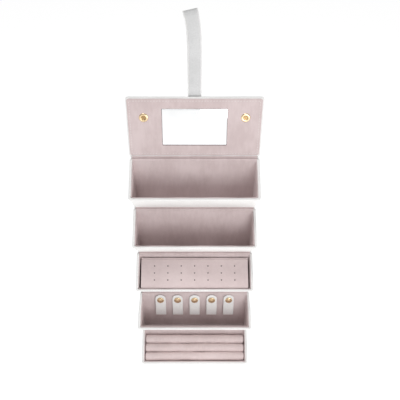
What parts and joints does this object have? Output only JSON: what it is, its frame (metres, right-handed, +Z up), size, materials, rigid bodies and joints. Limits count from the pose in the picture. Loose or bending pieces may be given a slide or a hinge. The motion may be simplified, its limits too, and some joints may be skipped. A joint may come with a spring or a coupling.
{
  "type": "travel jewelry case",
  "caption": "Hanging roll-up travel jewelry case: strap, mirror lid and a chain of wedge bins for glasses, earrings, bracelets and rings.",
  "frame": {"origin": "inside top of the strap loop, where the case hangs on a hook", "axes": "+Z up the hanging case, -Y to the front where the bins open, +X to the right seen from the front"},
  "size_m": [0.16, 0.0517, 0.5527],
  "materials": {
    "white leather": "satin",
    "strap leather": "satin",
    "suede lining": "matte",
    "mirror": "polished",
    "gold snap": "polished"
  },
  "bodies": {
    "strap": {"strap_loop": "strap leather"},
    "lid": {"strap_fold": "strap leather", "lid_board": "white leather", "lid_lining": "suede lining", "mirror": "mirror", "lid_snap_sockets": "gold snap", "lid_snap_caps": "gold snap", "strap_anchor": "strap leather"},
    "bin_1": {"fold_1": "white leather", "bin_1_back": "white leather", "bin_1_base": "white leather", "bin_1_side_left": "white leather", "bin_1_side_right": "white leather", "bin_1_lining": "suede lining"},
    "bin_2": {"fold_2": "white leather", "bin_2_back": "white leather", "bin_2_base": "white leather", "bin_2_side_left": "white leather", "bin_2_side_right": "white leather", "bin_2_lining": "suede lining"},
    "bin_3": {"fold_3": "white leather", "bin_3_back": "white leather", "bin_3_base": "white leather", "bin_3_side_left": "white leather", "bin_3_side_right": "white leather", "bin_3_lining": "suede lining"},
    "bin_4": {"fold_4": "white leather", "bin_4_back": "white leather", "bin_4_base": "white leather", "bin_4_side_left": "white leather", "bin_4_side_right": "white leather", "bin_4_lining": "suede lining", "tab_backings": "white leather", "tab_studs": "gold snap"},
    "bin_5": {"fold_5": "white leather", "bin_5_back": "white leather", "bin_5_base": "white leather", "bin_5_side_left": "white leather", "bin_5_side_right": "white leather", "bin_5_lining": "suede lining", "closure_studs": "gold snap", "ring_roll_1": "suede lining", "ring_roll_2": "suede lining", "ring_roll_3": "suede lining"},
    "earring_panel": {"earring_panel_fold": "suede lining", "earring_panel": "suede lining"},
    "tab_1": {"tab_1": "white leather", "tab_1_snap": "gold snap"},
    "tab_2": {"tab_2": "white leather", "tab_2_snap": "gold snap"},
    "tab_3": {"tab_3": "white leather", "tab_3_snap": "gold snap"},
    "tab_4": {"tab_4": "white leather", "tab_4_snap": "gold snap"},
    "tab_5": {"tab_5": "white leather", "tab_5_snap": "gold snap"}
  },
  "joints": [
    {"name": "strap_swing", "type": "hinge", "parent": "strap", "child": "lid", "pos_m": [0, 0, -0.098], "axis": [-1, 0, 0], "range_deg": [0, 48]},
    {"name": "lid_fold", "type": "hinge", "parent": "lid", "child": "bin_1", "pos_m": [0, -0.0032, -0.178], "axis": [-1, 0, 0], "range_deg": [0, 69.2]},
    {"name": "bin_fold_1", "type": "hinge", "parent": "bin_1", "child": "bin_2", "pos_m": [0, -0.0032, -0.253], "axis": [-1, 0, 0], "range_deg": [0, 71]},
    {"name": "bin_fold_2", "type": "hinge", "parent": "bin_2", "child": "bin_3", "pos_m": [0, -0.0032, -0.328], "axis": [-1, 0, 0], "range_deg": [0, 71]},
    {"name": "bin_fold_3", "type": "hinge", "parent": "bin_3", "child": "bin_4", "pos_m": [0, -0.0032, -0.403], "axis": [-1, 0, 0], "range_deg": [0, 71]},
    {"name": "bin_fold_4", "type": "hinge", "parent": "bin_4", "child": "bin_5", "pos_m": [0, -0.0032, -0.478], "axis": [-1, 0, 0], "range_deg": [0, 77.7]},
    {"name": "earring_panel_lift", "type": "hinge", "parent": "bin_3", "child": "earring_panel", "pos_m": [0, -0.00844, -0.33591], "axis": [1, 0, 0], "range_deg": [-55, 0]},
    {"name": "tab_1_open", "type": "hinge", "parent": "bin_4", "child": "tab_1", "pos_m": [-0.05, -0.00775, -0.444], "axis": [-1, 0, 0], "range_deg": [-60, 0]},
    {"name": "tab_2_open", "type": "hinge", "parent": "bin_4", "child": "tab_2", "pos_m": [-0.025, -0.00775, -0.444], "axis": [-1, 0, 0], "range_deg": [-60, 0]},
    {"name": "tab_3_open", "type": "hinge", "parent": "bin_4", "child": "tab_3", "pos_m": [0, -0.00775, -0.444], "axis": [-1, 0, 0], "range_deg": [-60, 0]},
    {"name": "tab_4_open", "type": "hinge", "parent": "bin_4", "child": "tab_4", "pos_m": [0.025, -0.00775, -0.444], "axis": [-1, 0, 0], "range_deg": [-60, 0]},
    {"name": "tab_5_open", "type": "hinge", "parent": "bin_4", "child": "tab_5", "pos_m": [0.05, -0.00775, -0.444], "axis": [-1, 0, 0], "range_deg": [-60, 0]}
  ]
}
